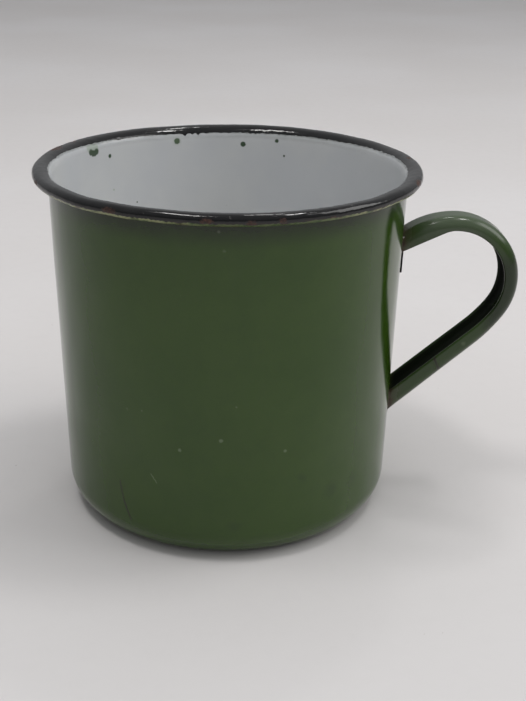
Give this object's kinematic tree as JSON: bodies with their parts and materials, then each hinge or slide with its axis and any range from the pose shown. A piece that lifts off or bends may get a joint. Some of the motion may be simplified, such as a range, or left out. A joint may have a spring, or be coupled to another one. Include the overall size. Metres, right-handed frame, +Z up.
{
  "type": "enamelled steel mug",
  "caption": "Vitreous-enamelled steel mug: tapered drawn cup, rolled rim, curved base corner, raised base panel and a channel-section strap handle.",
  "frame": {"origin": "on the mug's axis, in the plane of the ring that it stands on", "axes": "+Z up along the cup's axis; +X from the axis towards the handle; +Y to the left when the handle is seen from outside with +Z up"},
  "size_m": [0.115, 0.09, 0.0834],
  "materials": {
    "sheet_steel": "cold-rolled low-carbon sheet, pickled before enamelling",
    "weld_steel": "fused spot-weld nuggets, dull",
    "white_enamel": "glossy fired vitreous enamel, bluish white",
    "green_enamel": "glossy fired vitreous enamel, dark bottle green",
    "black_enamel": "glossy fired vitreous enamel, black"
  },
  "bodies": {
    "root": {"steel_body": "sheet_steel", "steel_handle": "sheet_steel", "upper_spot_welds": "weld_steel", "lower_spot_welds": "weld_steel", "interior_enamel": "white_enamel", "exterior_enamel": "green_enamel", "base_enamel": "green_enamel", "handle_enamel": "green_enamel", "rim_enamel": "black_enamel"}
  },
  "joints": []
}
